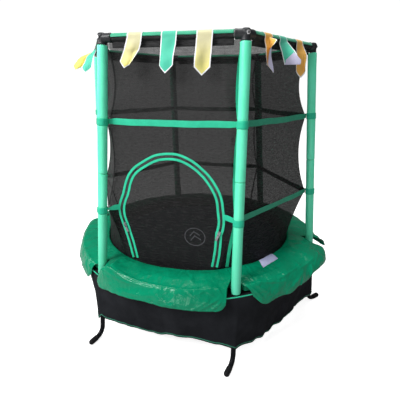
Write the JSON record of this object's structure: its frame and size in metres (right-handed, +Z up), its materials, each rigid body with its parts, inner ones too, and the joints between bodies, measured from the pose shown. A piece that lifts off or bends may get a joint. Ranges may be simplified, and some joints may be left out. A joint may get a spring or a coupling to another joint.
{
  "type": "trampoline with enclosure",
  "caption": "Small round trampoline with padded edge, poles with foam sleeves, zipped net enclosure, pennants and a cloth skirt round the legs.",
  "frame": {"origin": "on the floor, at the centre of the box round the whole part, under the middle of the jumping mat", "axes": "+Z up, the zipped doorway faces -Y, +X to the right as seen from the doorway"},
  "size_m": [1.5969, 1.498, 1.513],
  "materials": {
    "tube_steel": "satin",
    "leg_black": "satin",
    "screw_steel": "bright",
    "cap_black": "matt",
    "foam_mint": "satin",
    "elbow_black": "satin",
    "net_black": "mesh",
    "tape_green": "woven",
    "strap_green": "woven",
    "zip_black": "satin",
    "zip_metal": "satin",
    "cord_black": "matt",
    "vinyl_green": "gloss",
    "patch_pale": "satin",
    "skirt_black": "matt",
    "mat_black": "woven",
    "emblem_grey": "printed",
    "flag_cream": "satin",
    "flag_green": "satin",
    "flag_orange": "satin"
  },
  "bodies": {
    "frame": {"frame_rails": "tube_steel", "corner_tees": "tube_steel", "tee_screws": "screw_steel", "leg_tubes": "leg_black", "foot_caps": "cap_black", "lower_poles": "tube_steel", "upper_poles": "tube_steel", "pole_couplers": "tube_steel", "lower_sleeves": "foam_mint", "upper_sleeves": "foam_mint", "top_elbows": "elbow_black", "elbow_screws": "screw_steel", "elbow_washers": "screw_steel", "top_rails": "tube_steel", "rail_hems": "net_black", "rail_piping": "tape_green", "net_front": "net_black", "net_front_right": "net_black", "net_back_right": "net_black", "net_back": "net_black", "net_back_left": "net_black", "net_front_left": "net_black", "seam_tapes": "tape_green", "upper_straps": "strap_green", "lower_straps": "strap_green", "upper_strap_loops": "strap_green", "lower_strap_loops": "strap_green", "net_ties": "cord_black", "door_tape_frame": "tape_green", "zip_teeth_frame": "zip_black", "elastic_cords": "cord_black", "pad_ring": "vinyl_green", "pad_flaps": "vinyl_green", "pad_patch": "patch_pale", "pad_ties": "cord_black", "skirt_panels": "skirt_black", "skirt_band": "tape_green", "skirt_piping": "tape_green"},
    "mat_assembly": {"mat": "mat_black", "mat_hem": "mat_black", "mat_rings": "tube_steel", "mat_emblem": "emblem_grey"},
    "door": {"door_flap": "net_black", "door_tape_flap": "tape_green", "zip_teeth_flap": "zip_black"},
    "slider_left": {"zip_slider_left": "zip_metal"},
    "slider_right": {"zip_slider_right": "zip_metal"},
    "puller_left": {"zip_puller_left": "zip_metal"},
    "puller_right": {"zip_puller_right": "zip_metal"},
    "pennant_1": {"flag_1": "flag_cream"},
    "pennant_2": {"flag_2": "flag_green"},
    "pennant_3": {"flag_3": "flag_cream"},
    "pennant_4": {"flag_4": "flag_orange"},
    "pennant_5": {"flag_5": "flag_green"},
    "pennant_6": {"flag_6": "flag_orange"},
    "pennant_7": {"flag_7": "flag_cream"},
    "pennant_8": {"flag_8": "flag_green"}
  },
  "joints": [
    {"name": "mat_bounce", "type": "slide", "parent": "frame", "child": "mat_assembly", "axis": [0, 0, 1], "range_m": [-0.12, 0], "stiffness_N_per_m": 3000, "springref_m": 0.01, "deforming": ["elastic_cords"]},
    {"name": "door_flap_fold", "type": "hinge", "parent": "frame", "child": "door", "pos_m": [0.01687, -0.52073, 0.455], "axis": [-0.9995, -0.0314, 0], "range_deg": [0, 96]},
    {"name": "zip_left_run", "type": "hinge", "parent": "frame", "child": "slider_left", "pos_m": [0.00643, -0.52296, 0.733], "axis": [-0.0314, 0.9995, 0], "range_deg": [0, 112]},
    {"name": "zip_right_run", "type": "hinge", "parent": "frame", "child": "slider_right", "pos_m": [0.00643, -0.52296, 0.733], "axis": [0.0314, -0.9995, 0], "range_deg": [0, 102]},
    {"name": "puller_left_swing", "type": "hinge", "parent": "slider_left", "child": "puller_left", "pos_m": [-0.23549, -0.53876, 0.64428], "axis": [-0.9331, -0.0293, -0.3584], "range_deg": [0, 90]},
    {"name": "puller_right_swing", "type": "hinge", "parent": "slider_right", "child": "puller_right", "pos_m": [0.24887, -0.52354, 0.64428], "axis": [-0.9331, -0.0293, 0.3584], "range_deg": [0, 90]},
    {"name": "pennant_1_swing", "type": "hinge", "parent": "frame", "child": "pennant_1", "pos_m": [-0.1174, -0.53305, 1.492], "axis": [-0.9981, -0.0616, 0], "range_deg": [0, 95]},
    {"name": "pennant_2_swing", "type": "hinge", "parent": "frame", "child": "pennant_2", "pos_m": [0.02932, -0.524, 1.492], "axis": [-0.9981, -0.0616, 0], "range_deg": [0, 95]},
    {"name": "pennant_3_swing", "type": "hinge", "parent": "frame", "child": "pennant_3", "pos_m": [0.17504, -0.51501, 1.492], "axis": [-0.9981, -0.0616, 0], "range_deg": [0, 95]},
    {"name": "pennant_4_swing", "type": "hinge", "parent": "frame", "child": "pennant_4", "pos_m": [0.39759, -0.37894, 1.492], "axis": [-0.4457, -0.8952, 0], "range_deg": [0, 95]},
    {"name": "pennant_5_swing", "type": "hinge", "parent": "frame", "child": "pennant_5", "pos_m": [0.45197, -0.26973, 1.492], "axis": [-0.4457, -0.8952, 0], "range_deg": [0, 95]},
    {"name": "pennant_6_swing", "type": "hinge", "parent": "frame", "child": "pennant_6", "pos_m": [0.52239, -0.12829, 1.492], "axis": [-0.4457, -0.8952, 0], "range_deg": [0, 95]},
    {"name": "pennant_7_swing", "type": "hinge", "parent": "frame", "child": "pennant_7", "pos_m": [-0.55072, -0.119, 1.492], "axis": [-0.5524, 0.8336, 0], "range_deg": [0, 95]},
    {"name": "pennant_8_swing", "type": "hinge", "parent": "frame", "child": "pennant_8", "pos_m": [-0.50377, -0.18986, 1.492], "axis": [-0.5524, 0.8336, 0], "range_deg": [0, 95]}
  ]
}
